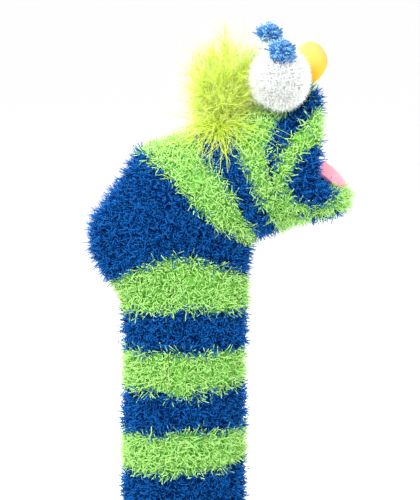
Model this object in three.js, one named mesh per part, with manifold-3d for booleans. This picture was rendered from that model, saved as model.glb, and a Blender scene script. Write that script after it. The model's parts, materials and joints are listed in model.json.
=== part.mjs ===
// A moving mouth hand puppet made from a knitted sock: +X is the way the face looks, +Y is the puppet's left,
// +Z is up, and the origin is the centre of the hem's lower edge. Lengths are in millimetres.
import * as THREE from "three";
import { mergeVertices } from "three/addons/utils/BufferGeometryUtils.js";
import Module from "manifold-3d";

const wasm = await Module();
wasm.setup();

// Driving dimensions
const GAP = 0.3;
const KNIT = 2.5;
const AROUND = 30;
const SLEEVE_HALF_X = 38.5;
const SLEEVE_HALF_Y = 33;
const CUFF_HEIGHT = 22;
const CUFF_WALL = 4.2;
const ELASTIC_R = 1.2;
const TURN_Z = 186;
const RING_TOP_Z = 197;
const FOLD_TOP_Z = 218;
const HINGE = [71, 272];
const PALATE_TIP = [92, 332];
const JAW_TIP = [111, 259.5];
const BOARD = 1.8;
const LINING = 1.6;
const MOUTH_HALF = 33;
const LIP_R = 3.6;
const EYE_R = 22;
const PUPIL_R = 9.5;
const PUPIL_REACH = 21.5;
const NOSE_HALF = [12.6, 12, 15.2];
const TONGUE_WIDTH = 32;
const TONGUE_THICK = 3.4;
const PLUME_LENGTH = 44;

// Each ring of the sock: its back or top point, its front or bottom point, both as [x, z], and its half width along Y.
const RINGS = [
  { top: [-SLEEVE_HALF_X, 0], bottom: [SLEEVE_HALF_X, 0], half: SLEEVE_HALF_Y },
  { top: [-SLEEVE_HALF_X, 90], bottom: [SLEEVE_HALF_X, 90], half: SLEEVE_HALF_Y },
  { top: [-38.5, 186], bottom: [39.5, 186], half: 33 },
  { top: [-46, 199], bottom: [40, 197], half: 34 },
  { top: [-56.5, 210], bottom: [41.5, 206], half: 36 },
  { top: [-62.5, 222], bottom: [43, 215], half: 37.5 },
  { top: [-63.5, 235], bottom: [44, 222], half: 39 },
  { top: [-60, 247], bottom: [46, 227.5], half: 40 },
  { top: [-52, 259], bottom: [48.5, 231], half: 41 },
  { top: [-44, 272], bottom: [52, 234], half: 42 },
  { top: [-37, 284], bottom: [56, 237], half: 42.5 },
  { top: [-29, 292], bottom: [61, 240], half: 43 },
  { top: [-14, 296], bottom: [67, 241.5], half: 43 },
  { top: [3, 301], bottom: [73, 242], half: 43 },
  { top: [22, 309], bottom: [80, 242.5], half: 42.5 },
  { top: [42, 318], bottom: [88, 244], half: 42 },
  { top: [62, 326], bottom: [98, 246.5], half: 41.5 },
  { top: [80, 332], bottom: [108, 249.5], half: 41 },
  { top: [94, 337], bottom: [120, 252], half: 40 },
];

const COLOURS = {
  blue: 0x123f8c,
  green: 0x86d25a,
  hair: 0xc6e03c,
  white: 0xf4f4f2,
  pupil: 0x1c5fb4,
  yellow: 0xf6c81e,
  pink: 0xf58a96,
  card: 0xb99a6b,
  felt: 0x4a4a52,
  tape: 0xe8e4d8,
};

const puppet = new THREE.Group();
puppet.name = "moving_mouth_puppet";

function add(name, geometry, colour, roughness = 0.9) {
  const material = new THREE.MeshStandardMaterial({ color: COLOURS[colour], roughness, metalness: 0 });
  const mesh = new THREE.Mesh(geometry, material);
  mesh.name = name;
  puppet.add(mesh);
  return mesh;
}

// A geometry as a manifold-3d solid, and back.
function solid(geometry) {
  const bare = new THREE.BufferGeometry();
  const loose = geometry.index ? geometry.toNonIndexed() : geometry;
  bare.setAttribute("position", loose.getAttribute("position"));
  const merged = mergeVertices(bare, 1e-3);
  return new wasm.Manifold(
    new wasm.Mesh({
      numProp: 3,
      vertProperties: merged.attributes.position.array,
      triVerts: new Uint32Array(merged.index.array),
    }),
  );
}

function geometryOf(body) {
  const mesh = body.getMesh();
  const geometry = new THREE.BufferGeometry();
  geometry.setAttribute("position", new THREE.BufferAttribute(mesh.vertProperties, 3));
  geometry.setIndex(new THREE.BufferAttribute(mesh.triVerts, 1));
  return geometry;
}

function moveVertices(geometry, place) {
  const position = geometry.getAttribute("position");
  const v = new THREE.Vector3();
  for (let i = 0; i < position.count; i += 1) {
    v.fromBufferAttribute(position, i);
    place(v);
    position.setXYZ(i, v.x, v.y, v.z);
  }
  return geometry;
}

// A closed body through the rings: a unit cylinder whose rows of vertices go to the rings.
function loft(rings) {
  const rows = rings.length - 1;
  return moveVertices(new THREE.CylinderGeometry(1, 1, 1, AROUND, rows), (v) => {
    const ring = rings[Math.round((v.y + 0.5) * rows)];
    const midX = (ring.top[0] + ring.bottom[0]) / 2;
    const midZ = (ring.top[1] + ring.bottom[1]) / 2;
    const across = v.x;
    const side = v.z;
    v.x = midX + (ring.top[0] - midX) * across;
    v.z = midZ + (ring.top[1] - midZ) * across;
    v.y = ring.half * side;
  });
}

function inset(ring, wall) {
  const span = Math.hypot(ring.top[0] - ring.bottom[0], ring.top[1] - ring.bottom[1]);
  const dx = ((ring.bottom[0] - ring.top[0]) / span) * wall;
  const dz = ((ring.bottom[1] - ring.top[1]) / span) * wall;
  return {
    top: [ring.top[0] + dx, ring.top[1] + dz],
    bottom: [ring.bottom[0] - dx, ring.bottom[1] - dz],
    half: ring.half - wall,
  };
}

// The cavity runs past both ends of the sock, so the shell is open at the hem and at the mouth.
function cavityRings(wall) {
  const rings = RINGS.map((ring) => inset(ring, wall));
  const first = { ...rings[0], top: [rings[0].top[0], -5], bottom: [rings[0].bottom[0], -5] };
  const end = rings[rings.length - 1];
  const last = {
    top: [end.top[0] + 12, end.top[1] + 2],
    bottom: [end.bottom[0] + 12, end.bottom[1] + 1],
    half: end.half,
  };
  return [first, ...rings.slice(1), last];
}

// A side profile of [x, z] points run across the whole width, or from one Y to another.
function prism(points, fromY = -90, toY = 90) {
  const shape = new THREE.Shape(points.map(([x, z]) => new THREE.Vector2(x, z)));
  const geometry = new THREE.ExtrudeGeometry(shape, { depth: toY - fromY, bevelEnabled: false, curveSegments: 16 });
  geometry.rotateX(Math.PI / 2);
  geometry.translate(0, toY, 0);
  return geometry;
}

const cavity = solid(loft(cavityRings(KNIT)));
const sock = solid(loft(RINGS)).subtract(cavity);

function section(points) {
  return geometryOf(sock.intersect(solid(prism(points))));
}

// The sleeve: a straight knitted tube with a doubled cuff and an elastic inside it
add(
  "arm_sleeve",
  section([[-80, CUFF_HEIGHT + GAP], [80, CUFF_HEIGHT + GAP], [80, TURN_Z - GAP / 2], [-80, TURN_Z - GAP / 2]]),
  "blue",
);

const cuffOuter = SLEEVE_HALF_X + 0.8;
const cuffInner = cuffOuter - CUFF_WALL;
const cuffProfile = [
  [cuffInner, 0.6],
  [cuffInner + 0.6, 0],
  [cuffOuter - 0.6, 0],
  [cuffOuter, 0.6],
  [cuffOuter, CUFF_HEIGHT - 0.6],
  [cuffOuter - 0.6, CUFF_HEIGHT],
  [cuffInner + 0.6, CUFF_HEIGHT],
  [cuffInner, CUFF_HEIGHT - 0.6],
  [cuffInner, 0.6],
];
function hoop(profile) {
  const geometry = new THREE.LatheGeometry(profile.map(([r, z]) => new THREE.Vector2(r, z)), 48);
  geometry.rotateX(Math.PI / 2);
  geometry.scale(1, SLEEVE_HALF_Y / SLEEVE_HALF_X, 1);
  return geometry;
}
add("cuff_band", hoop(cuffProfile), "blue");

const elasticProfile = [];
for (let i = 0; i <= 8; i += 1) {
  const angle = (i / 8) * Math.PI * 2;
  const centreR = cuffInner - ELASTIC_R - GAP - 0.4;
  elasticProfile.push([centreR + ELASTIC_R * Math.cos(angle), CUFF_HEIGHT / 2 + ELASTIC_R * Math.sin(angle)]);
}
add("cuff_elastic", hoop(elasticProfile), "white", 0.6);

// The wrist: a ring that turns on the sleeve, and the soft fold that bends when the head nods
add(
  "wrist_ring",
  section([[-80, TURN_Z + GAP / 2], [80, TURN_Z + GAP / 2], [80, RING_TOP_Z], [-80, RING_TOP_Z]]),
  "green",
);
add(
  "wrist_fold",
  section([[-80, RING_TOP_Z + GAP], [80, RING_TOP_Z + GAP], [80, FOLD_TOP_Z], [-80, FOLD_TOP_Z]]),
  "blue",
);

// The head: the heel pouch at the back of the hand and the crown that ends in the upper half of the mouth
const HEEL_LINE = [[-45, 305], [51, 223.5]];
add(
  "heel_pouch",
  section([
    [-90, FOLD_TOP_Z + GAP],
    [56, FOLD_TOP_Z + GAP],
    HEEL_LINE[1],
    HEEL_LINE[0],
    [-90, 320],
  ]),
  "blue",
);

// The mouth opening as a side profile: everything in front of this line is air.
const upperLipEdge = [[73, 283], [80, 293], [87.5, 302], [92.5, 313], [92, 345]];
const lowerLipEdge = [[150, 255], [116, 255.5], [104, 259.3], [90, 263.3], [76, 267.5]];
const throatTop = [60, 268];
add(
  "crown_shell",
  section([
    [HEEL_LINE[0][0] + GAP, HEEL_LINE[0][1] + GAP],
    [HEEL_LINE[1][0] + GAP, HEEL_LINE[1][1] + GAP],
    [53.5, 230],
    throatTop,
    [66, 274],
    ...upperLipEdge,
    [-45, 350],
  ]),
  "green",
);
add("throat_fold", section([[52.4, 222], [70, 222], [72, 262], [66, 271], throatTop.map((c) => c + 0.5)]), "blue");
add(
  "jaw_shell",
  section([[70.5, 222], [150, 222], ...lowerLipEdge, [70, 270], [67.5, 269.5], [72.6, 262]]),
  "green",
);

// Lips: a rolled edge of knit around each half of the mouth
function lip(sidePoints, halfWidth) {
  const points = [];
  const steps = 14;
  const side = new THREE.CatmullRomCurve3(sidePoints.map(([x, z]) => new THREE.Vector3(x, 0, z)));
  for (let i = 0; i <= steps; i += 1) {
    const angle = (i / steps) * Math.PI;
    const along = side.getPoint(Math.sin(angle));
    points.push(new THREE.Vector3(along.x, halfWidth * Math.cos(angle), along.z));
  }
  const path = new THREE.CatmullRomCurve3(points);
  const round = new THREE.Shape();
  round.absarc(0, 0, LIP_R, 0, Math.PI * 2);
  return new THREE.ExtrudeGeometry(round, { steps: 40, curveSegments: 5, bevelEnabled: false, extrudePath: path });
}
add("upper_lip", lip([[80, 287.5], [93, 295], [98.6, 304], [99, 318], [99, 331]], 38), "green");
add("lower_lip", lip([[84, 268.5], [100, 265], [112, 261], [122, 259.5]], 37.5), "green");

// Mouth plates: stiff card behind, knitted lining in front, hinged by a tape along the fold
function plate(tip, thickness, lift, halfWidth, from = 5) {
  const length = Math.hypot(tip[0] - HINGE[0], tip[1] - HINGE[1]);
  const outline = new THREE.Shape();
  outline.moveTo(from, -halfWidth);
  outline.absellipse(from, 0, length - from, halfWidth, -Math.PI / 2, Math.PI / 2, false);
  outline.lineTo(from, -halfWidth);
  const geometry = new THREE.ExtrudeGeometry(outline, { depth: thickness, bevelEnabled: false, curveSegments: 20 });
  geometry.translate(0, 0, lift);
  geometry.rotateX(Math.PI);
  geometry.rotateY(-Math.atan2(tip[1] - HINGE[1], tip[0] - HINGE[0]));
  geometry.translate(HINGE[0], 0, HINGE[1]);
  return geometry;
}
add("palate_lining", plate(PALATE_TIP, LINING, 0, MOUTH_HALF - 1, 7), "blue");
add("upper_mouth_board", plate(PALATE_TIP, BOARD, -BOARD - GAP, MOUTH_HALF, 7), "card");
add("jaw_lining", plate(JAW_TIP, LINING, -LINING, MOUTH_HALF - 2, 8), "blue");
add("lower_mouth_board", plate(JAW_TIP, BOARD, GAP, MOUTH_HALF - 1, 8), "card");

const tapeProfile = [[68, 268.5], [66.9, 270], [67.2, 277.5], [70.5, 286], [71.6, 285.6], [68.4, 277.2], [68, 270.4]];
add("mouth_hinge_tape", prism(tapeProfile, -MOUTH_HALF + 3, MOUTH_HALF - 3), "tape", 0.5);

// Cheek folds: the slack of the toe that bulges out at each corner of the mouth
function ellipsoid(centre, half, around = 20, rows = 12) {
  const geometry = new THREE.SphereGeometry(1, around, rows);
  geometry.rotateX(Math.PI / 2);
  geometry.scale(half[0], half[1], half[2]);
  geometry.translate(centre[0], centre[1], centre[2]);
  return geometry;
}
for (const [name, side] of [["cheek_fold_right", -1], ["cheek_fold_left", 1]]) {
  add(name, ellipsoid([88.5, side * 25.5, 282], [10, 7.2, 10.6], 16, 10), "blue");
}

// The tongue: felt that is glued at the fold and arches over the lower lip
const tonguePath = new THREE.CatmullRomCurve3([
  new THREE.Vector3(75.5, 0, 276),
  new THREE.Vector3(84, 0, 284),
  new THREE.Vector3(96, 0, 283.5),
  new THREE.Vector3(108, 0, 275.5),
  new THREE.Vector3(116, 0, 266.8),
]);
const TONGUE_ROWS = 14;
const tongue = new THREE.BoxGeometry(1, 1, 1, TONGUE_ROWS, 6, 1);
moveVertices(tongue, (v) => {
  const along = v.x + 0.5;
  const point = tonguePath.getPoint(along);
  const tangent = tonguePath.getTangent(along);
  const width = TONGUE_WIDTH * (along < 0.6 ? 1 : Math.sqrt(1.06 - ((along - 0.6) / 0.4) ** 2));
  const lift = v.z * TONGUE_THICK - (v.y * 2) ** 2 * 1.5;
  v.x = point.x - tangent.z * lift;
  v.y = v.y * Math.min(width, TONGUE_WIDTH);
  v.z = point.z + tangent.x * lift;
});
add("tongue", tongue, "pink");

// Pom-pom eyes, tinsel pupils and a foam nose, each held by a felt washer inside the sock
const EYES = {
  right: { centre: [66.2, -24.5, 345.0], look: [-0.04, -0.54, 0.84] },
  left: { centre: [61.6, 22.8, 352.0], look: [0.1, -0.15, 0.98] },
};
function ball(centre, radius, around, rows) {
  return ellipsoid(centre, [radius, radius, radius], around, rows);
}
for (const [side, eye] of Object.entries(EYES)) {
  const look = new THREE.Vector3(...eye.look).normalize().multiplyScalar(PUPIL_REACH);
  const centre = [eye.centre[0] + look.x, eye.centre[1] + look.y, eye.centre[2] + look.z];
  const seat = solid(ball(centre, PUPIL_R + 2 * GAP, 16, 10));
  add(`eye_${side}`, geometryOf(solid(ball(eye.centre, EYE_R, 24, 16)).subtract(seat)), "white");
  add(`pupil_${side}`, ball(centre, PUPIL_R, 16, 10), "pupil", 0.3);
}
add("nose", ellipsoid([90.8, 0, 354.6], NOSE_HALF, 20, 14), "yellow", 0.55);

function washer(name, centre, radius, tilt, roll = 0) {
  const geometry = new THREE.CylinderGeometry(radius, radius, 1.5, 20);
  geometry.rotateX(Math.PI / 2);
  geometry.rotateY(-tilt);
  geometry.rotateX(roll);
  geometry.translate(...centre);
  add(name, geometry, "felt");
}
const CROWN_SLOPE = 0.38;
washer("eye_anchor_right", [58, -19, 308], 8, CROWN_SLOPE, 0.5);
washer("eye_anchor_left", [58, 19, 308], 8, CROWN_SLOPE, -0.5);
washer("nose_anchor", [80, 0, 325], 6, 0.3);
washer("hair_anchor", [16, 0, 300.5], 9, CROWN_SLOPE);

// The hair: marabou plumes bound in a tuft on a felt disc
washer("hair_base", [14.5, 0, 310.5], 14, CROWN_SLOPE);
const tuft = new THREE.CylinderGeometry(5, 6.5, 9, 20);
tuft.rotateX(Math.PI / 2);
tuft.rotateY(-CROWN_SLOPE);
tuft.translate(12.3, 0, 316.4);
add("hair_binding", tuft, "hair");

function plume(length, halfWidth, halfThick, droop) {
  const geometry = new THREE.SphereGeometry(1, 14, 10);
  geometry.rotateZ(-Math.PI / 2);
  return moveVertices(geometry, (v) => {
    const along = (v.x + 1) / 2;
    const swell = 0.35 + 0.9 * along;
    v.x = along * length;
    v.y = v.y * halfWidth * swell;
    v.z = v.z * halfThick * swell - droop * along * along;
  });
}
const TUFT_CENTRE = [14, 0, 320];
const PLUMES = [
  { heading: 90, rise: 87, length: PLUME_LENGTH + 18, wide: 15, droop: 0 },
  { heading: 10, rise: 60, length: PLUME_LENGTH + 4, wide: 10, droop: 0 },
  { heading: 130, rise: 60, length: PLUME_LENGTH + 6, wide: 13, droop: 0 },
  { heading: 235, rise: 60, length: PLUME_LENGTH + 6, wide: 13, droop: 0 },
  { heading: 58, rise: 22, length: PLUME_LENGTH - 8, wide: 12, droop: 4 },
  { heading: 110, rise: 22, length: PLUME_LENGTH - 5, wide: 15, droop: 12 },
  { heading: 165, rise: 20, length: PLUME_LENGTH - 12, wide: 14, droop: 8 },
  { heading: 215, rise: 20, length: PLUME_LENGTH - 7, wide: 14, droop: 10 },
  { heading: 262, rise: 26, length: PLUME_LENGTH + 2, wide: 15, droop: 30 },
  { heading: 310, rise: 20, length: PLUME_LENGTH - 12, wide: 12, droop: 6 },
];
PLUMES.forEach(({ heading, rise, length, wide, droop }, i) => {
  const geometry = plume(length, wide, 6.5, droop);
  geometry.translate(9, 0, 0);
  geometry.rotateY(-THREE.MathUtils.degToRad(rise));
  geometry.rotateZ(THREE.MathUtils.degToRad(heading));
  geometry.translate(...TUFT_CENTRE);
  add(`hair_plume_${i + 1}`, geometry, "hair");
});

export default puppet;
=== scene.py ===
# %% [markdown]
# # A moving mouth hand puppet
# The real puppet is a fuzzy striped sock worn over a hand: four fingers in the upper jaw, the thumb in
# the lower one. Pom-poms make the eyes, a smooth foam bead the nose, felt the tongue and a tuft of
# marabou down the hair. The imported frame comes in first. It holds every rigid piece at its place, and
# everything made here rides on it.

import json
import math
import random

import bmesh
import bpy
import numpy as np
from mathutils import Matrix, Vector, noise

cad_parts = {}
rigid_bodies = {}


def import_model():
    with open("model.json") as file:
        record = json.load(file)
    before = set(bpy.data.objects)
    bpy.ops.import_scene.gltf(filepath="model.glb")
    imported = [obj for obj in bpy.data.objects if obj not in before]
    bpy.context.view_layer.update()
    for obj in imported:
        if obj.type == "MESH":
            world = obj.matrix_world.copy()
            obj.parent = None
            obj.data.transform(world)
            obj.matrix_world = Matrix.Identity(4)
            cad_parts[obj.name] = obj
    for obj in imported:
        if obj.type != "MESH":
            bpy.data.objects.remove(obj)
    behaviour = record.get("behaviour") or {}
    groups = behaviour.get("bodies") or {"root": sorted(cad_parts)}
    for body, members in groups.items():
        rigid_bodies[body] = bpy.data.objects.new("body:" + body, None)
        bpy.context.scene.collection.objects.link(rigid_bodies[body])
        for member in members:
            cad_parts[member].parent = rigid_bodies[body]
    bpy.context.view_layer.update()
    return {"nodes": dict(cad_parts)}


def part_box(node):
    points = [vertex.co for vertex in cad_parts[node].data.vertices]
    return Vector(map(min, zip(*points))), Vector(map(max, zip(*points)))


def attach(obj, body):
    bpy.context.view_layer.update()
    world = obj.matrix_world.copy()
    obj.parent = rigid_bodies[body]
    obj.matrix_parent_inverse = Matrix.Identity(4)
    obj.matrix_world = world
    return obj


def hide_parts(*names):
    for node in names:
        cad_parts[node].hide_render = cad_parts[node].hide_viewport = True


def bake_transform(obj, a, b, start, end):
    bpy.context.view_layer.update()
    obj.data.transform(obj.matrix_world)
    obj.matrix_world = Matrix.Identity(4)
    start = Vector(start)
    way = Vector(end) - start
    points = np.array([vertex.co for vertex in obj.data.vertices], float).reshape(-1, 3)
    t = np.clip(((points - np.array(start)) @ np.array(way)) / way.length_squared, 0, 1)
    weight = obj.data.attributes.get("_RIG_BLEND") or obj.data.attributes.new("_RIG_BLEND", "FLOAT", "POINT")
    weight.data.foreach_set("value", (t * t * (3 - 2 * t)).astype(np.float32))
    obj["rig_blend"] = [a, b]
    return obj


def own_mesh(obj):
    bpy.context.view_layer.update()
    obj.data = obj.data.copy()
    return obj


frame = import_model()
MM = 0.001

# %% [markdown]
# ## Camera, floor and light
# The puppet is looked at from its right side, a little from above and a touch from behind, through a long
# lens, so the sleeve's stripes curve only slightly. A white floor and a white sky give a bright studio
# with soft shadows.


# %% Camera
TARGET = Vector((18.8, 0, 220.3)) * MM
CAMERA_TURN = math.radians(-6)
CAMERA_RISE = math.radians(7)
CAMERA_DISTANCE = 1.6
FRAME_HEIGHT = 0.36


def towards(turn, rise):
    """The unit vector from the puppet to a viewer at that turn and rise."""
    return Vector((math.sin(turn) * math.cos(rise), -math.cos(turn) * math.cos(rise), math.sin(rise)))


camera_data = bpy.data.cameras.new("camera")
camera_data.sensor_width = 36
camera_data.lens = 36 * CAMERA_DISTANCE / FRAME_HEIGHT
camera = bpy.data.objects.new("camera", camera_data)
bpy.context.collection.objects.link(camera)
back = towards(CAMERA_TURN, CAMERA_RISE)
camera.location = TARGET + back * CAMERA_DISTANCE
camera.rotation_euler = back.to_track_quat("Z", "Y").to_euler()
bpy.context.scene.camera = camera
bpy.context.scene.view_settings.view_transform = "Standard"
print("camera at", [round(v, 3) for v in camera.location])

# %% Light
SKY_STRENGTH = 1.04
world = bpy.data.worlds.new("studio")
world.use_nodes = True
sky = world.node_tree.nodes["Background"].inputs
sky["Color"].default_value = (1, 1, 1, 1)
sky["Strength"].default_value = SKY_STRENGTH
bpy.context.scene.world = world


LIT_POINT = Vector((0.02, 0, 0.25))
LIGHT_DISTANCE = 1.1


def area_light(name, turn, rise, size, power):
    """A square soft light that looks at the head."""
    lamp = bpy.data.lights.new(name, "AREA")
    lamp.size = size
    lamp.energy = power
    light = bpy.data.objects.new(name, lamp)
    bpy.context.collection.objects.link(light)
    away = towards(math.radians(turn), math.radians(rise))
    light.location = LIT_POINT + away * LIGHT_DISTANCE
    light.rotation_euler = away.to_track_quat("Z", "Y").to_euler()


area_light("key_light", -38, 48, 0.7, 17)
area_light("fill_light", 55, 15, 0.9, 5)
area_light("rim_light", 205, 40, 0.6, 12)
print("lights:", len(bpy.data.lights))

# %% [markdown]
# ## Small tools for materials
# Every finish is a node tree. A thin wrapper round a socket lets shader maths be written as ordinary
# arithmetic, and one method adds any other node: its settings first, then the values or links of its
# sockets.


# %% Node tree helper
class Wire:
    """One output socket; arithmetic on it adds Math nodes."""

    def __init__(self, tree, socket):
        self.tree = tree
        self.socket = socket

    def maths(self, operation, first, second):
        return self.tree.node("ShaderNodeMath", {"operation": operation}, {0: first, 1: second})

    def __add__(self, other):
        return self.maths("ADD", self, other)

    def __sub__(self, other):
        return self.maths("SUBTRACT", self, other)

    def __mul__(self, other):
        return self.maths("MULTIPLY", self, other)


class Tree:
    """Adds nodes to a shader tree or a geometry tree."""

    def __init__(self, node_tree):
        self.node_tree = node_tree

    def node(self, kind, settings=None, sockets=None, output=0):
        made = self.node_tree.nodes.new(kind)
        for name, value in (settings or {}).items():
            if name == "stops":
                self.set_stops(made.color_ramp, value)
            else:
                setattr(made, name, value)
        for key, value in (sockets or {}).items():
            self.feed(made.inputs[key], value)
        return Wire(self, made.outputs[output]) if made.outputs else made

    def feed(self, socket, value):
        if isinstance(value, Wire):
            self.node_tree.links.new(value.socket, socket)
        else:
            socket.default_value = value

    @staticmethod
    def set_stops(ramp, stops):
        while len(ramp.elements) < len(stops):
            ramp.elements.new(0.5)
        for element, (place, colour) in zip(ramp.elements, stops):
            element.position = place
            element.color = (*colour, 1)


class Finish(Tree):
    """A material with one Principled shader."""

    def __init__(self, name, **constants):
        self.material = bpy.data.materials.new(name)
        self.material.use_nodes = True
        super().__init__(self.material.node_tree)
        self.shader = self.node_tree.nodes["Principled BSDF"]
        for key, value in constants.items():
            self.shader.inputs[key.replace("_", " ")].default_value = value

    def attribute(self, name):
        return self.node("ShaderNodeAttribute", {"attribute_name": name}, output="Fac")

    def noise(self, scale, detail=2.0, roughness=0.5):
        place = self.node("ShaderNodeTexCoord", output="Object")
        sockets = {"Vector": place, "Scale": scale, "Detail": detail, "Roughness": roughness}
        return self.node("ShaderNodeTexNoise", {}, sockets, output="Fac")

    def height(self, low, high):
        place = self.node("ShaderNodeTexCoord", output="Object")
        z = self.node("ShaderNodeSeparateXYZ", {}, {"Vector": place}, output="Z")
        sockets = {"Value": z, "From Min": low, "From Max": high}
        return self.node("ShaderNodeMapRange", {}, sockets, output="Result")

    def ramp(self, value, stops):
        return self.node("ShaderNodeValToRGB", {"stops": stops}, {"Fac": value})

    def mix(self, share, first, second, blend_type="MIX"):
        settings = {"data_type": "RGBA", "blend_type": blend_type}
        sockets = {0: share}
        for key, value in ((6, first), (7, second)):
            sockets[key] = value if isinstance(value, Wire) else (*value, 1)
        return self.node("ShaderNodeMix", settings, sockets, output=2)

    def bump(self, height, strength, distance):
        sockets = {"Height": height, "Strength": strength, "Distance": distance}
        self.feed(self.shader.inputs["Normal"], self.node("ShaderNodeBump", {}, sockets))

    def colour(self, value):
        self.feed(self.shader.inputs["Base Color"], value)


print("helpers ready")

# %% [markdown]
# ## Finishes
# The yarn is a "feather" yarn: a thin core with short loose fibres. Down between the fibres it is dark,
# and their tips catch the light; the finish paints both, a painted shade at the roots and a painted highlight
# at the tips. Each fibre carries how far along it a point is, and a tone of its own, so one finish gives
# the painted roots and tips and the mottling from tuft to tuft.


# %% Yarn fibres
def yarn_finish(name, root, body, tip):
    finish = Finish(name, Roughness=0.6, Specular_IOR_Level=0.04)
    along = finish.attribute("along")
    tone = finish.attribute("tone")
    patches = finish.noise(150, 3)
    # Painted shade and highlight: the ramp darkens the roots, where it is dark down between the fibres, and
    # lightens the tips, where they catch the light.
    painted_shade_and_highlight = finish.ramp(along, [(0.0, root), (0.5, body), (1.0, tip)])
    finish.colour(finish.mix(tone * 0.9 + patches * 0.9 - 0.65, painted_shade_and_highlight, tip))
    return finish.material


# The root colours are painted shade and the tip colours painted highlight; the body colours are the yarns'
# own blue and green.
blue_fibre = yarn_finish("blue_fibre", (0.0, 0.007, 0.05), (0.0, 0.026, 0.15), (0.008, 0.14, 0.48))
green_fibre = yarn_finish("green_fibre", (0.13, 0.41, 0.05), (0.27, 0.63, 0.12), (0.5, 0.81, 0.27))


# %% Knit under the fibres
def knit_finish():
    finish = Finish("striped_knit", Roughness=0.9, Specular_IOR_Level=0.05)
    striped = finish.ramp(finish.attribute("yarn"), [(0.47, (0.0, 0.02, 0.11)), (0.53, (0.2, 0.56, 0.08))])
    loops = finish.noise(420, 2)
    finish.colour(finish.mix(loops * 0.5, striped, (0.3, 0.45, 0.5), "MULTIPLY"))
    finish.bump(loops, 0.6, 0.001)
    return finish.material


knit = knit_finish()


# %% Down, pom-pom, tinsel, foam and felt
def strand_finish(name, root, tip, spread, end=None, **constants):
    finish = Finish(name, **constants)
    along = finish.attribute("along")
    tone = finish.attribute("tone")
    stops = [(0.0, root), (1.0, tip)] if end is None else [(0.0, root), (0.62, tip), (1.0, end)]
    finish.colour(finish.ramp(tone * spread + along * (1 - spread), stops))
    return finish.material


DOWN = {"Roughness": 0.6, "Specular_IOR_Level": 0.1}
down = strand_finish("marabou_down", (0.48, 0.7, 0.008), (0.78, 0.92, 0.16), 0.4, (0.91, 0.98, 0.52), **DOWN)
fluff = strand_finish("white_fluff", (0.9, 0.92, 0.9), (0.94, 0.95, 0.94), 0.5, Roughness=0.8)
tinsel = strand_finish("blue_tinsel", (0.0, 0.07, 0.3), (0.17, 0.46, 0.84), 0.9, Roughness=0.22, Metallic=0.3)


def foam_finish():
    finish = Finish("yellow_foam", Roughness=0.5, Specular_IOR_Level=0.15)
    cells = finish.noise(900, 2)
    highlight_edge_noise = finish.noise(60, 2)
    # Painted highlight: the foam turns paler towards the top of the nose, where the light falls on it, and
    # noise breaks the edge of the highlight.
    painted_top_highlight = finish.height(0.343, 0.366) + highlight_edge_noise * 0.2 - 0.1
    finish.colour(finish.mix(painted_top_highlight, (0.86, 0.455, 0.0), (0.88, 0.42, 0.12)))
    finish.bump(cells, 0.12, 0.0004)
    finish.shader.inputs["Subsurface Weight"].default_value = 0.25
    finish.shader.inputs["Subsurface Radius"].default_value = (0.006, 0.004, 0.001)
    return finish.material


def felt_finish(name, dark, light):
    finish = Finish(name, Roughness=0.95)
    matted = finish.noise(520, 5, 0.75)
    clouds = finish.noise(90, 2)
    finish.colour(finish.mix(matted * 0.6 + clouds * 0.4, dark, light))
    finish.bump(matted, 0.5, 0.0006)
    finish.shader.inputs["Sheen Weight"].default_value = 0.4
    return finish.material


foam = foam_finish()
pink_felt = felt_finish("pink_felt", (0.8, 0.24, 0.33), (0.9, 0.36, 0.46))
grey_felt = felt_finish("grey_felt", (0.1, 0.1, 0.12), (0.3, 0.3, 0.33))
hair_felt = felt_finish("hair_felt", (0.3, 0.5, 0.03), (0.6, 0.78, 0.12))
tape_weave = felt_finish("tape_weave", (0.6, 0.57, 0.48), (0.86, 0.83, 0.74))
card = felt_finish("mouth_card", (0.36, 0.25, 0.13), (0.58, 0.43, 0.26))
elastic = felt_finish("elastic", (0.7, 0.7, 0.67), (0.92, 0.92, 0.9))
white_floor = Finish("white_floor", Base_Color=(0.95, 0.95, 0.95, 1), Roughness=0.9).material
print("finishes:", len(bpy.data.materials))

# %% [markdown]
# ## The floor
# A plain pale sheet under the hem. It isn't part of the puppet.


# %% Mesh helpers and the floor
def link_mesh(name, shape, material, smooth=True):
    """A bmesh becomes an object at the origin, with one material."""
    mesh = bpy.data.meshes.new(name)
    shape.to_mesh(mesh)
    shape.free()
    mesh.materials.append(material)
    if smooth:
        mesh.shade_smooth()
    piece = bpy.data.objects.new(name, mesh)
    bpy.context.collection.objects.link(piece)
    return piece


def settle(piece):
    """The piece's modifiers are made part of its mesh."""
    graph = bpy.context.evaluated_depsgraph_get()
    final = piece.evaluated_get(graph)
    mesh = bpy.data.meshes.new_from_object(final, preserve_all_data_layers=True, depsgraph=graph)
    piece.modifiers.clear()
    piece.data = mesh
    mesh.name = piece.name


def touching(verts):
    """The points with the edges and faces at them, always in the same order."""
    edges = dict.fromkeys(edge for vert in verts for edge in vert.link_edges)
    faces = dict.fromkeys(face for vert in verts for face in vert.link_faces)
    return [*verts, *edges, *faces]


def tube_grid(around, count):
    """A tube of quads, made in a fixed order, and its rings of points, each with its angle."""
    tube = bmesh.new()
    tube.verts.layers.float.new("yarn")
    tube.verts.layers.float.new("course")
    bmesh.ops.create_grid(tube, x_segments=around, y_segments=count - 1, size=1)
    points = tube.verts[:]
    rings = [points[row * (around + 1) : (row + 1) * (around + 1)] for row in range(count)]
    bmesh.ops.weld_verts(tube, targetmap={ring[-1]: ring[0] for ring in rings})
    angles = [math.tau * place / around - math.pi for place in range(around)]
    return tube, [list(zip(ring[:-1], angles)) for ring in rings]


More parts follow.
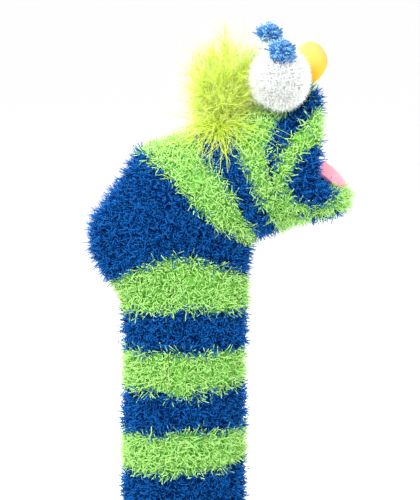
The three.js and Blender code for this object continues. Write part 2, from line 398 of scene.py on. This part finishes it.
FLOOR_SIZE = 80
FLOOR_DROP = 0.0005
ground = bmesh.new()
bmesh.ops.create_grid(ground, x_segments=1, y_segments=1, size=FLOOR_SIZE)
bmesh.ops.translate(ground, verts=ground.verts, vec=(0, 0, -FLOOR_DROP))
floor = link_mesh("floor", ground, white_floor, smooth=False)

# %% [markdown]
# ## The sock as one bag
# The whole sock is one tube, pushed in at the toe to make the mouth: a tube of quads, with each of its
# rings moved to its place. A ring is given by its back point T, its side point M, its front point B and
# its half width. Between M and T, or M and B, the edge may bow through a third point, which makes the
# lips bend round the corner of the mouth.

# %% Ring table
# In millimetres. A ring of the tube is T x, z; B x, z; half width, with M halfway and no bow. A ring of
# the lips is T x, z; M x, z; B x, z; bow above x, z; bow below x, z; half width.
HINGE = Vector((71, 0, 272)) * MM
TUBE = [
    ((-41.5, 14), (40, 14), 33.5),
    ((-41, 60), (40, 60), 33.5),
    ((-40, 120), (40, 120), 33.5),
    ((-40, 160), (41, 160), 33.5),
    ((-41.5, 184), (42, 184), 33.5),
    ((-47.5, 198), (42, 197), 34),
    ((-57, 210), (42, 206), 36),
    ((-62.5, 222), (43, 215), 37.5),
    ((-63.8, 235), (44, 221.5), 39),
    ((-59.5, 247), (45, 227), 40),
    ((-49.5, 259), (46.5, 230), 41),
    ((-42, 270), (51, 233.5), 42),
    ((-34.5, 282), (56, 234.5), 42.5),
    ((-29, 291.5), (61, 236), 43),
    ((-14, 296), (67, 238), 43),
    ((3, 301), (73, 240), 43),
]
LIP_RINGS = [
    ((22, 309), (48, 273), (79, 242.5), (38, 290.5), (63, 256), 42.5),
    ((42, 318), (56, 274), (86, 244.5), (52, 294), (69, 252), 42.3),
    ((62, 326), (61.5, 274.5), (94, 246.5), (66, 296), (72, 247), 42),
    ((77, 331.5), (65, 274.7), (103.5, 249), (77, 296), (74, 244), 42),
    ((87, 336), (67, 274.3), (112, 250.5), (85, 294.5), (74, 243), 42),
    ((91.5, 335), (68.5, 273.8), (116.5, 253), (88, 294), (73.5, 243.5), 42.4),
    ((94, 330.5), (73, 272.5), (118, 257), (89, 292), (80, 247), 43.5),
    ((93.8, 324), (81, 271.5), (116, 261), (90, 290), (89, 252), 44),
    ((91.5, 315), (88, 271), (110, 263.5), (90, 289), (95, 257), 41),
    ((87, 304), (88, 270.5), (101, 266), (87, 288), (93, 262), 34),
    ((81, 290), (83, 271), (89, 269.3), (83, 281), (86, 267.5), 28),
    ((75, 277), (73.5, 272), (77, 272.5), (75, 274), (74.5, 272), 25),
]


def ring_row(back_point, side, front, above, below, half):
    return [*back_point, *side, *front, *above, *below, half]


def middle(a, b):
    return ((a[0] + b[0]) / 2, (a[1] + b[1]) / 2)


rows = []
for back_point, front, half in TUBE:
    side = middle(back_point, front)
    rows.append(ring_row(back_point, side, front, middle(side, back_point), middle(side, front), half))
rows += [ring_row(*ring) for ring in LIP_RINGS]
rows = np.array(rows)
LIP_COURSE = len(TUBE) + 4.5
print("ring rows:", rows.shape)


# %% Smooth rings between the given ones
def smooth_row(table, place):
    """The row at any place in a table, by a Catmull-Rom curve through its rows."""
    last = len(table) - 1
    k = min(int(place), last - 1)
    u = place - k
    p = [table[min(max(i, 0), last)] for i in (k - 1, k, k + 1, k + 2)]
    return 0.5 * (
        2 * p[1]
        + (p[2] - p[0]) * u
        + (2 * p[0] - 5 * p[1] + 4 * p[2] - p[3]) * u**2
        + (3 * p[1] - p[0] - 3 * p[2] + p[3]) * u**3
    )


def ring_at(course):
    return smooth_row(rows, min(max(course, 0.0), len(rows) - 1.0))


def ring_point(ring, angle):
    """The point at that angle: 0 is the back of the hand, half a turn is the palm side."""
    c = math.cos(angle)
    corner, bow = (ring[0:2], ring[6:8]) if c >= 0 else (ring[4:6], ring[8:10])
    c = abs(c)
    x, z = (1 - c) ** 2 * ring[2:4] + 2 * c * (1 - c) * bow + c**2 * corner
    return Vector((x, ring[10] * math.sin(angle), z)) * MM


COURSE_STEP_MM = 2.6
PROBE_STEP = 0.05
LEAST_MOVE_MM = 0.35
courses = [0.0]
while courses[-1] < len(rows) - 1:
    here = ring_at(courses[-1])
    ahead = ring_at(courses[-1] + PROBE_STEP)
    moved = max(math.dist(here[i : i + 2], ahead[i : i + 2]) for i in (0, 2, 4))
    courses.append(courses[-1] + PROBE_STEP * COURSE_STEP_MM / max(moved, LEAST_MOVE_MM))
courses[-1] = len(rows) - 1.0
print("courses:", len(courses))


# %% [markdown]
# ## Stripes
# The sock changes yarn at certain courses, but the courses tilt: more rows were knitted at the heel than
# at the throat. On the sleeve a change is given by the points where it crosses the back, the side and the
# front of the sock, and on the head by its courses round the sock.


# %% Where the yarn changes
SLEEVE_CHANGES = [
    ((-41.5, 33), (0, 32), (40, 34)),
    ((-41, 61.5), (0, 64), (40, 68)),
    ((-40, 91.4), (0, 92.5), (40, 93.6)),
    ((-40, 121.7), (0, 119.5), (40, 123.8)),
    ((-40, 149), (0, 151), (41, 152.3)),
    ((-41, 176.4), (0, 181), (42, 178.6)),
]
# Courses at equal steps round the sock, from the back through the side to the front.
HEAD_CHANGES = [
    (5.2, 5.8, 6.25, 6.75, 7.2, 7.15, 6.75, 6.25, 5.5),
    (12.98, 12.78, 12.3, 11.75, 11.25, 10.75, 10.3, 9.7, 8.9),
    (15.3, 14.9, 14.6, 14.4, 14.15, 13.65, 12.95, 11.8, 10.6),
    (16.7, 16.25, 15.98, 15.7, 15.4, 15.0, 14.65, 14.3, 13.84),
    (20.7, 17.84, 17.37, 17.1, 17.05, 16.7, 17.4, 18.6, 18.5),
    (23.9, 20.1, 18.45, 17.7, 17.38, 16.92, 17.4, 19.8, 20.6),
    (25.9, 25.1, 22.03, 19.84, 20.9, 21.1, 21.8, 24.2, 25.0),
]
fine = np.arange(0, len(TUBE) - 1, PROBE_STEP)
fine_rings = np.array([ring_at(course) for course in fine])


def course_near(first, point):
    """The course whose back, side or front point lies nearest."""
    return float(fine[np.argmin(((fine_rings[:, first : first + 2] - np.array(point)) ** 2).sum(1))])


changes = [tuple(course_near(2 * i, edge[i]) for i in range(3)) for edge in SLEEVE_CHANGES]
changes += HEAD_CHANGES


def yarn_at(course, angle):
    """1 for green yarn, 0 for blue."""
    back_to_front = -math.cos(angle)
    passed = sum(course > np.interp(back_to_front, np.linspace(-1, 1, len(edge)), edge) for edge in changes)
    return int(passed + 1) % 2


print("yarn changes:", len(changes))

# %% Grow the bag
AROUND = 92


def grow_bag():
    bag, rings = tube_grid(AROUND, len(courses))
    course_layer = bag.verts.layers.float["course"]
    yarn_layer = bag.verts.layers.float["yarn"]
    for course, points in zip(courses, rings):
        ring = ring_at(course)
        for vert, angle in points:
            vert.co = ring_point(ring, angle)
            vert[course_layer] = course
            vert[yarn_layer] = yarn_at(course, angle)
    bmesh.ops.recalc_face_normals(bag, faces=bag.faces)
    return bag


bag = grow_bag()
probe = min(bag.faces, key=lambda face: (face.calc_center_median() - Vector((0, -0.033, 0.1))).length)
if probe.normal.y > 0:
    bmesh.ops.reverse_faces(bag, faces=bag.faces)
print("bag faces:", len(bag.faces))

# %% [markdown]
# ## Cutting the bag where the hand bends it
# Cloth that crosses a joint turns smoothly from one body to the next, and a piece may cross only one
# joint. So the bag is divided in four: the sleeve, the hand, the jaw with the throat, and the mouth's own
# lining. Both sides of a dividing line move alike there, and the pile covers what little they differ.

# %% Pieces of knit
TURN_SPLIT = 0.190
THROAT_START = Vector((0.049, 0, 0.250))
THROAT_ACROSS = Vector((0.996, 0, -0.088))
THROAT_REACH = 0.030
THROAT_FLOOR = 0.200
JAW_CEILING = HINGE.z + 0.001
MOUTH_ACROSS = Vector((0.44, 0, -0.9))
MOUTH_REACH = 0.013
KNIT_WALL = 0.0022


def region_of(centre, course):
    if course > LIP_COURSE:
        return "mouth"
    if centre.z < TURN_SPLIT:
        return "sleeve"
    past_throat = (centre - THROAT_START).dot(THROAT_ACROSS) > 0
    if THROAT_FLOOR < centre.z < JAW_CEILING and past_throat:
        return "jaw"
    return "hand"


def part_of_bag(region):
    """A copy of the bag with only one region's faces."""
    piece = bag.copy()
    layer = piece.verts.layers.float["course"]
    away = []
    for face in piece.faces:
        course = sum(vert[layer] for vert in face.verts) / len(face.verts)
        if region_of(face.calc_center_median(), course) != region:
            away.append(face)
    bmesh.ops.delete(piece, geom=away, context="FACES")
    return piece


REGIONS = ("sleeve", "hand", "jaw", "mouth")
surfaces = {region: link_mesh(f"{region}_surface", part_of_bag(region), knit) for region in REGIONS}
bag.free()
print({region: len(surface.data.polygons) for region, surface in surfaces.items()})


def hold(piece, region):
    """Cloth of one region follows the joint that its region crosses."""
    if region == "sleeve":
        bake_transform(piece, "sleeve", "wrist", start=(0, 0, 0.160), end=(0, 0, 0.187))
    elif region == "hand":
        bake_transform(piece, "wrist", "head", start=(0, 0, 0.191), end=(0, 0, 0.236))
    elif region == "jaw":
        end = THROAT_START + THROAT_ACROSS * THROAT_REACH
        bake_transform(piece, "head", "jaw", start=tuple(THROAT_START), end=tuple(end))
    else:
        reach = MOUTH_ACROSS * MOUTH_REACH
        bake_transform(piece, "head", "jaw", start=tuple(HINGE - reach), end=tuple(HINGE + reach))


def knit_piece(region):
    """The knit itself: the surface with a wall inside it."""
    source = surfaces[region]
    piece = bpy.data.objects.new(f"{region}_knit", source.data.copy())
    bpy.context.collection.objects.link(piece)
    wall = piece.modifiers.new("wall", "SOLIDIFY")
    wall.thickness = KNIT_WALL
    wall.offset = -1
    settle(piece)
    hold(piece, region)
    return piece


knits = {region: knit_piece(region) for region in REGIONS}
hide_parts("arm_sleeve")
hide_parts("wrist_ring", "wrist_fold", "heel_pouch", "crown_shell", "upper_lip")
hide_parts("throat_fold", "jaw_shell", "lower_lip")
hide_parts("palate_lining", "jaw_lining", "cheek_fold_right", "cheek_fold_left")

# %% [markdown]
# ## The pile
# Feather yarn sheds short fibres in every direction. A few small tufts of closed three-sided fibres are
# made, and geometry nodes strew them over the knit, each turned and leaned at random. Blue tufts land
# only on blue courses and green tufts on green ones, and they overlap across the edge as the real ones
# do.


# %% One fibre, and a tuft of them
def add_fibre(shape, length, radius, blunt, bend, wave, turn, lean, joints):
    """A thin closed strand, bent along its length; its points know how far along they are."""
    layer = shape.verts.layers.float["along"]
    before = set(shape.verts)
    ends = {"radius1": radius, "radius2": radius * blunt}
    bmesh.ops.create_cone(shape, cap_ends=True, segments=3, depth=length, **ends)
    fibre = [vert for vert in shape.verts if vert not in before]
    bmesh.ops.translate(shape, verts=fibre, vec=(0, 0, length / 2))
    for step in range(1, joints + 1):
        geometry = touching([vert for vert in shape.verts if vert not in before])
        height = length * step / (joints + 1)
        bmesh.ops.bisect_plane(shape, geom=geometry, plane_co=(0, 0, height), plane_no=(0, 0, 1))
    fibre = [vert for vert in shape.verts if vert not in before]
    place = Matrix.Rotation(turn, 4, "Z") @ Matrix.Rotation(lean, 4, "Y")
    for vert in fibre:
        share = vert.co.z / length
        vert[layer] = share
        thick = 1 + 0.8 * share * (1 - share)
        curl = bend * share**2 + wave * math.sin(math.tau * share)
        vert.co = Vector((vert.co.x * thick + curl, vert.co.y * thick, vert.co.z))
    bmesh.ops.transform(shape, matrix=place, verts=fibre)


def make_tufts(
    name, material, count, fibres, length, radius, bend, lean, seed, blunt=0.25, wave=0.0, joints=1
):
    """A collection of differently grown tufts, used only as patterns."""
    dice = random.Random(seed)
    group = bpy.data.collections.new(name)
    for number in range(count):
        shape = bmesh.new()
        shape.verts.layers.float.new("along")
        for fibre in range(fibres):
            turn = math.tau * (fibre + dice.uniform(-0.3, 0.3)) / fibres
            add_fibre(
                shape,
                length * dice.uniform(0.7, 1.15),
                radius * dice.uniform(0.8, 1.2),
                blunt,
                bend * dice.uniform(-1, 1),
                wave * dice.uniform(-1, 1),
                turn,
                math.radians(dice.uniform(*lean)),
                joints,
            )
        tuft = link_mesh(f"{name}_{number}", shape, material)
        bpy.context.collection.objects.unlink(tuft)
        group.objects.link(tuft)
    return group


# %% Strewing with geometry nodes
FLOW_STRAY = 0.65


def strew(name, surface, tufts, per_m2, seed, lean=0.5, scale=(0.8, 1.2), yarn=None, flow=None):
    """A new piece: the tufts strewn over a surface, made into one plain mesh."""
    group = bpy.data.node_groups.new(name, "GeometryNodeTree")
    group.interface.new_socket("Geometry", in_out="INPUT", socket_type="NodeSocketGeometry")
    group.interface.new_socket("Geometry", in_out="OUTPUT", socket_type="NodeSocketGeometry")
    tree = Tree(group)
    start = tree.node("NodeGroupInput")
    sockets = {"Mesh": start, "Density": per_m2, "Seed": seed}
    if yarn is not None:
        course_yarn = tree.node("GeometryNodeInputNamedAttribute", {"data_type": "FLOAT"}, {"Name": "yarn"})
        chosen = {"data_type": "FLOAT", "operation": "GREATER_THAN" if yarn else "LESS_THAN"}
        sockets["Selection"] = tree.node("FunctionNodeCompare", chosen, {0: course_yarn, 1: 0.5})
    spread = tree.node("GeometryNodeDistributePointsOnFaces", {"distribute_method": "RANDOM"}, sockets)
    outputs = spread.socket.node.outputs
    upright = Wire(tree, outputs["Rotation"])
    if flow is not None:
        along = tree.node("GeometryNodeInputNamedAttribute", {"data_type": "FLOAT_VECTOR"}, {"Name": "flow"})
        outward = Wire(tree, outputs["Normal"])
        out = tree.node("ShaderNodeVectorMath", {"operation": "SCALE"}, {0: outward, 3: flow})
        stray_range = {0: (-FLOW_STRAY,) * 3, 1: (FLOW_STRAY,) * 3, "Seed": seed + 5}
        stray = tree.node("FunctionNodeRandomValue", {"data_type": "FLOAT_VECTOR"}, stray_range)
        aim = tree.node("ShaderNodeVectorMath", {"operation": "ADD"}, {0: along, 1: out})
        aim = tree.node("ShaderNodeVectorMath", {"operation": "ADD"}, {0: aim, 1: stray})
        upright = tree.node("FunctionNodeAlignRotationToVector", {"axis": "Z"}, {"Vector": aim})
    angles = tree.node(
        "FunctionNodeRandomValue",
        {"data_type": "FLOAT_VECTOR"},
        {0: (-lean, -lean, 0), 1: (lean, lean, math.tau), "Seed": seed + 1},
    )
    tilt = tree.node("FunctionNodeEulerToRotation", {}, {0: angles})
    turned = tree.node("FunctionNodeRotateRotation", {"rotation_space": "LOCAL"}, {0: upright, 1: tilt})
    size_range = {2: scale[0], 3: scale[1], "Seed": seed + 2}
    size = tree.node("FunctionNodeRandomValue", {"data_type": "FLOAT"}, size_range, 1)
    sources = {"Collection": tufts, "Separate Children": True, "Reset Children": True}
    patterns = tree.node("GeometryNodeCollectionInfo", {}, sources)
    pick_range = {4: 0, 5: len(tufts.objects) - 1, "Seed": seed + 3}
    pick = tree.node("FunctionNodeRandomValue", {"data_type": "INT"}, pick_range, 2)
    placed = tree.node(
        "GeometryNodeInstanceOnPoints",
        {},
        {
            "Points": spread,
            "Instance": patterns,
            "Pick Instance": True,
            "Instance Index": pick,
            "Rotation": turned,
            "Scale": size,
        },
    )
    tone = tree.node("FunctionNodeRandomValue", {"data_type": "FLOAT"}, {2: 0.0, 3: 1.0, "Seed": seed + 4}, 1)
    toned = tree.node(
        "GeometryNodeStoreNamedAttribute",
        {"data_type": "FLOAT", "domain": "INSTANCE"},
        {"Geometry": placed, "Name": "tone", "Value": tone},
    )
    real = tree.node("GeometryNodeRealizeInstances", {}, {"Geometry": toned})
    tree.node("NodeGroupOutput", {}, {0: real})
    piece = bpy.data.objects.new(name, surface.data.copy())
    bpy.context.collection.objects.link(piece)
    modifier = piece.modifiers.new("strew", "NODES")
    modifier.node_group = group
    settle(piece)
    bpy.data.node_groups.remove(group)
    triangles = sum(len(face.vertices) - 2 for face in piece.data.polygons)
    print(f"{name}: {triangles} triangles")
    return piece


# %% Pile on every part of the sock
PILE_LENGTH = 0.0068
PILE_RADIUS = 0.0004
PILE_PER_M2 = 140000
LAYERS = {"sleeve": 2, "hand": 2, "jaw": 1, "mouth": 1}
pile_fibre = (PILE_LENGTH, PILE_RADIUS, 0.0052, (30, 88))
curl = {"blunt": 0.6, "wave": 0.0009, "joints": 2}
blue_tufts = make_tufts("blue_tufts", blue_fibre, 9, 4, *pile_fibre, 11, **curl)
green_tufts = make_tufts("green_tufts", green_fibre, 9, 4, *pile_fibre, 12, **curl)
for number, (region, layers) in enumerate(LAYERS.items()):
    for yarn, colour, tufts in ((0, "blue", blue_tufts), (1, "green", green_tufts)):
        for layer in range(1, layers + 1):
            name = f"{region}_pile_{colour}_{layer}"
            seed = 40 + number + 10 * layer
            pile = strew(name, surfaces[region], tufts, PILE_PER_M2 / layers, seed, yarn=yarn)
            hold(pile, region)
for surface in surfaces.values():
    bpy.data.objects.remove(surface)

# %% [markdown]
# ## Pom-pom eyes and tinsel pupils
# A pom-pom is a ball of cut ends. A core keeps light from passing through, and fine fibres stand out of
# it all round. The pupils are smaller balls of flat shiny strands, pressed into the white ones.


# %% Balls of fibres
def node_ball(node):
    low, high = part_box(node)
    return (low + high) / 2, min(high - low) / 2


def core_ball(name, centre, radius, material, lumps=0.0):
    shape = bmesh.new()
    bmesh.ops.create_icosphere(shape, subdivisions=4, radius=radius)
    for vert in shape.verts:
        vert.co *= 1 + lumps * noise.noise(vert.co * 1.6 / radius)
    bmesh.ops.translate(shape, verts=shape.verts, vec=centre)
    return link_mesh(name, shape, material)


EYE_CORE, EYE_LUMPS, EYE_FIBRES_PER_M2 = 0.79, 0.1, 620000
PUPIL_CORE, PUPIL_LUMPS, PUPIL_STRANDS_PER_M2 = 0.52, 0.15, 800000
white_tufts = make_tufts("white_tufts", fluff, 6, 4, 0.0062, 0.00022, 0.0034, (5, 62), 21)
tinsel_tufts = make_tufts(
    "tinsel_tufts", tinsel, 8, 3, 0.005, 0.0007, 0.0036, (45, 86), 22, blunt=0.9, joints=3
)
for side in ("right", "left"):
    low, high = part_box(f"eye_{side}")
    radius = (high.x - low.x) / 2
    centre = Vector(((low.x + high.x) / 2, (low.y + high.y) / 2, low.z + radius - 0.001))
    eye = core_ball(f"eye_{side}_core", centre, radius * EYE_CORE, fluff, EYE_LUMPS)
    eye_fluff = strew(f"eye_{side}_fluff", eye, white_tufts, EYE_FIBRES_PER_M2, 60, lean=0.5)
    pupil_centre, pupil_radius = node_ball(f"pupil_{side}")
    pupil = core_ball(f"pupil_{side}_core", pupil_centre, pupil_radius * PUPIL_CORE, tinsel, PUPIL_LUMPS)
    pupil_strands = strew(f"pupil_{side}_strands", pupil, tinsel_tufts, PUPIL_STRANDS_PER_M2, 70, lean=0.4)
    for piece, slot in (
        (eye, "white_pompom"),
        (eye_fluff, "white_pompom"),
        (pupil, "blue_tinsel"),
        (pupil_strands, "blue_tinsel"),
    ):
        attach(piece, "head")
    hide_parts(f"eye_{side}")
    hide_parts(f"pupil_{side}")

# %% [markdown]
# ## The foam nose
# A smooth egg, flatter on top and narrower where it meets the face.


# %% Nose
def make_nose():
    low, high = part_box("nose")
    half = (high - low) / 2
    centre = (high + low) / 2
    shape = bmesh.new()
    bmesh.ops.create_uvsphere(shape, u_segments=48, v_segments=32, radius=1)
    for vert in shape.verts:
        x, y, z = vert.co
        pinch = 1 - 0.3 * max(0, -z) ** 1.5
        top = z if z < 0 else z * (1 - 0.08 * (x * x + y * y))
        vert.co = Vector((x * half.x * pinch, y * half.y * pinch, top * half.z)) + centre
    nose = link_mesh("foam_nose", shape, foam)
    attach(nose, "head")
    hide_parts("nose")
    return nose


nose = make_nose()
print("nose points:", len(nose.data.vertices))

# %% [markdown]
# ## The hair
# Marabou is the soft down of a feather: barbs so limp that they curl and drift. Thin quills fan out of
# the tuft, and long fine barbs are strewn along them, all leaning towards the quill's end.


# %% Quills
QUILL_SEGMENTS = 9


def quill(shape, root, heading, rise, length, droop, radius):
    """One curved quill; its points know which way it runs."""
    flow_layer = shape.verts.layers.float_vector["flow"]
    before = set(shape.verts)
    bmesh.ops.create_cone(shape, cap_ends=True, segments=4, radius1=radius, radius2=radius * 0.4, depth=1)
    fresh = [vert for vert in shape.verts if vert not in before]
    bmesh.ops.translate(shape, verts=fresh, vec=(0, 0, 0.5))
    for step in range(1, QUILL_SEGMENTS):
        geometry = touching([vert for vert in shape.verts if vert not in before])
        cut = (0, 0, step / QUILL_SEGMENTS)
        bmesh.ops.bisect_plane(shape, geom=geometry, plane_co=cut, plane_no=(0, 0, 1))
    out = Vector((math.cos(rise) * math.cos(heading), math.cos(rise) * math.sin(heading), math.sin(rise)))
    sideways = out.cross(Vector((0, 0, 1))).normalized() if abs(out.z) < 0.99 else Vector((1, 0, 0))
    upward = sideways.cross(out)
    for vert in [vert for vert in shape.verts if vert not in before]:
        share = vert.co.z
        bow = Vector((0.1 * length * share, 0, -droop * share**2))
        vert.co = root + out * (0.003 + length * share) + bow + sideways * vert.co.x + upward * vert.co.y
        vert[flow_layer] = (out * length + Vector((0, 0, -2 * droop * share))).normalized()


GOLDEN_TURN = 2.39996


def make_quills(name, root, count, rise_range, length_at, droop_at, seed, radius=0.0005, steep=1.0):
    dice = random.Random(seed)
    shape = bmesh.new()
    shape.verts.layers.float_vector.new("flow")
    low, high = (math.sin(math.radians(angle)) for angle in rise_range)
    for number in range(count):
        rise = math.asin(low + (high - low) * ((number + 0.5) / count) ** steep)
        heading = number * GOLDEN_TURN + dice.uniform(-0.2, 0.2)
        lofty = max(0.0, math.sin(rise))
        length = length_at(lofty) * dice.uniform(0.85, 1.1)
        quill(shape, root, heading, rise, length, droop_at(lofty) * dice.uniform(0.6, 1.3), radius)
    return link_mesh(name, shape, down)


PLUME_ROOT = Vector((25, -5, 314)) * MM
SKIRT_ROOT = Vector((24, -15, 311)) * MM
plume = make_quills(
    "plume_quills",
    PLUME_ROOT,
    110,
    (8, 88),
    lambda up: 0.012 + 0.048 * up**3,
    lambda up: 0.003,
    5,
    radius=0.0004,
    steep=0.6,
)
skirt = make_quills("skirt_quills", SKIRT_ROOT, 44, (-12, 30), lambda up: 0.02, lambda up: 0.016, 6)
strays = make_quills(
    "stray_strands", SKIRT_ROOT, 40, (-14, 16), lambda up: 0.052, lambda up: 0.022, 7, radius=0.00028
)
barbs = make_tufts("barbs", down, 10, 1, 0.018, 0.00016, 0.012, (0, 14), 31, wave=0.003, joints=5)
long_barbs = make_tufts("long_barbs", down, 6, 1, 0.03, 0.0002, 0.01, (0, 8), 32, wave=0.002, joints=5)
MARABOU = (
    (plume, barbs, 620000, 0.8),
    (plume, barbs, 620000, 0.6),
    (plume, barbs, 620000, 0.4),
    (skirt, long_barbs, 520000, 0.2),
)
for number, (quills, pattern, per_m2, flow) in enumerate(MARABOU):
    name = f"marabou_{number + 1}"
    hair = strew(name, quills, pattern, per_m2, 80 + number, lean=0.35, scale=(0.5, 1.15), flow=flow)
    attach(hair, "head")
for quills in (plume, skirt, strays):
    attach(quills, "head")
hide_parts(*[f"hair_plume_{number}" for number in range(1, 11)])

# %% [markdown]
# ## The tongue
# A leaf of thick felt, glued at the fold of the mouth. It arches up and then falls over the lower lip.


# %% Tongue
TONGUE_LINE = np.array([(75.5, 276), (84, 284), (96, 283.5), (108, 275.5), (116, 265.5)])
TONGUE_HALF = 0.016
TONGUE_WALL = 0.0032
TONGUE_LIFT = 0.0012
TONGUE_ARCH = 0.0085


def tongue_middle(share):
    """The point at that share of the tongue's middle line, from root to tip."""
    return Vector(smooth_row(TONGUE_LINE, share * (len(TONGUE_LINE) - 1))) * MM


def make_tongue():
    shape = bmesh.new()
    bmesh.ops.create_grid(shape, x_segments=22, y_segments=10, size=0.5)
    for vert in shape.verts:
        share = vert.co.x + 0.5
        across = vert.co.y * 2
        place = tongue_middle(share)
        run = (tongue_middle(min(share + 0.01, 1.0)) - tongue_middle(max(share - 0.01, 0.0))).normalized()
        taper = 1.0 if share < 0.6 else math.sqrt(max(0.06, 1 - ((share - 0.6) / 0.42) ** 2))
        lift = TONGUE_LIFT - TONGUE_ARCH * across**2
        vert.co = Vector((place.x - run.y * lift, TONGUE_HALF * across * taper, place.y + run.x * lift))
    tongue = link_mesh("felt_tongue", shape, pink_felt)
    wall = tongue.modifiers.new("wall", "SOLIDIFY")
    wall.thickness = TONGUE_WALL
    wall.offset = 0
    edge = tongue.modifiers.new("edge", "BEVEL")
    edge.width = 0.001
    edge.segments = 2
    edge.limit_method = "ANGLE"
    settle(tongue)
    tongue.data.shade_smooth()
    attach(tongue, "jaw")
    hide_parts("tongue")
    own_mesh(tongue)
    return tongue


tongue = make_tongue()
print("tongue faces:", len(tongue.data.polygons))

# %% [markdown]
# ## The cuff
# The hem is knitted in ribs, doubled over the elastic. The ring of the tube is waved, so each wale stands
# proud.


# %% Cuff
WALES = 56
RIB_HEIGHT = 0.0006
CUFF_ROUNDING = 0.0008
CUFF_WALL = 0.0032
CUFF_HEIGHTS = [0.0006, 0.003, 0.008, 0.013, 0.018, 0.0205, 0.0216]


def make_cuff():
    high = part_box("cuff_band")[1]
    shape, rings = tube_grid(WALES * 6, len(CUFF_HEIGHTS))
    for height, points in zip(CUFF_HEIGHTS, rings):
        inset = CUFF_ROUNDING * (2 if height in (CUFF_HEIGHTS[0], CUFF_HEIGHTS[-1]) else 1)
        for vert, angle in points:
            rib = RIB_HEIGHT * math.cos(angle * WALES)
            x = (high.x - inset + rib) * math.cos(angle)
            y = (high.y - inset + rib) * math.sin(angle)
            vert.co = Vector((x, y, height))
    bmesh.ops.recalc_face_normals(shape, faces=shape.faces)
    cuff = link_mesh("ribbed_cuff", shape, knit)
    wall = cuff.modifiers.new("wall", "SOLIDIFY")
    wall.thickness = CUFF_WALL
    wall.offset = -1
    settle(cuff)
    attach(cuff, "sleeve")
    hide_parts("cuff_band")
    return cuff


cuff = make_cuff()
print("cuff faces:", len(cuff.data.polygons))

# %% [markdown]
# ## Finishes for the pieces that stay as they are
# The mouth plates, the hinge tape, the washers and the elastic keep their shape from the frame, and get
# the finish of card, woven tape, felt and elastic.

# %% Finish the carried-over pieces
CARRIED = {
    "upper_mouth_board": card,
    "lower_mouth_board": card,
    "mouth_hinge_tape": tape_weave,
    "cuff_elastic": elastic,
    "eye_anchor_right": grey_felt,
    "eye_anchor_left": grey_felt,
    "nose_anchor": grey_felt,
    "hair_anchor": grey_felt,
    "hair_base": hair_felt,
    "hair_binding": hair_felt,
}
for node, material in CARRIED.items():
    piece = frame["nodes"][node]
    piece.data.materials.clear()
    piece.data.materials.append(material)
print("carried over:", len(CARRIED))

# %% [markdown]
# ## Clearing away the tuft patterns

# %% Remove the tuft patterns
for group in list(bpy.data.collections):
    if group.name.endswith(("tufts", "barbs")):
        for pattern in list(group.objects):
            bpy.data.objects.remove(pattern)
        bpy.data.collections.remove(group)
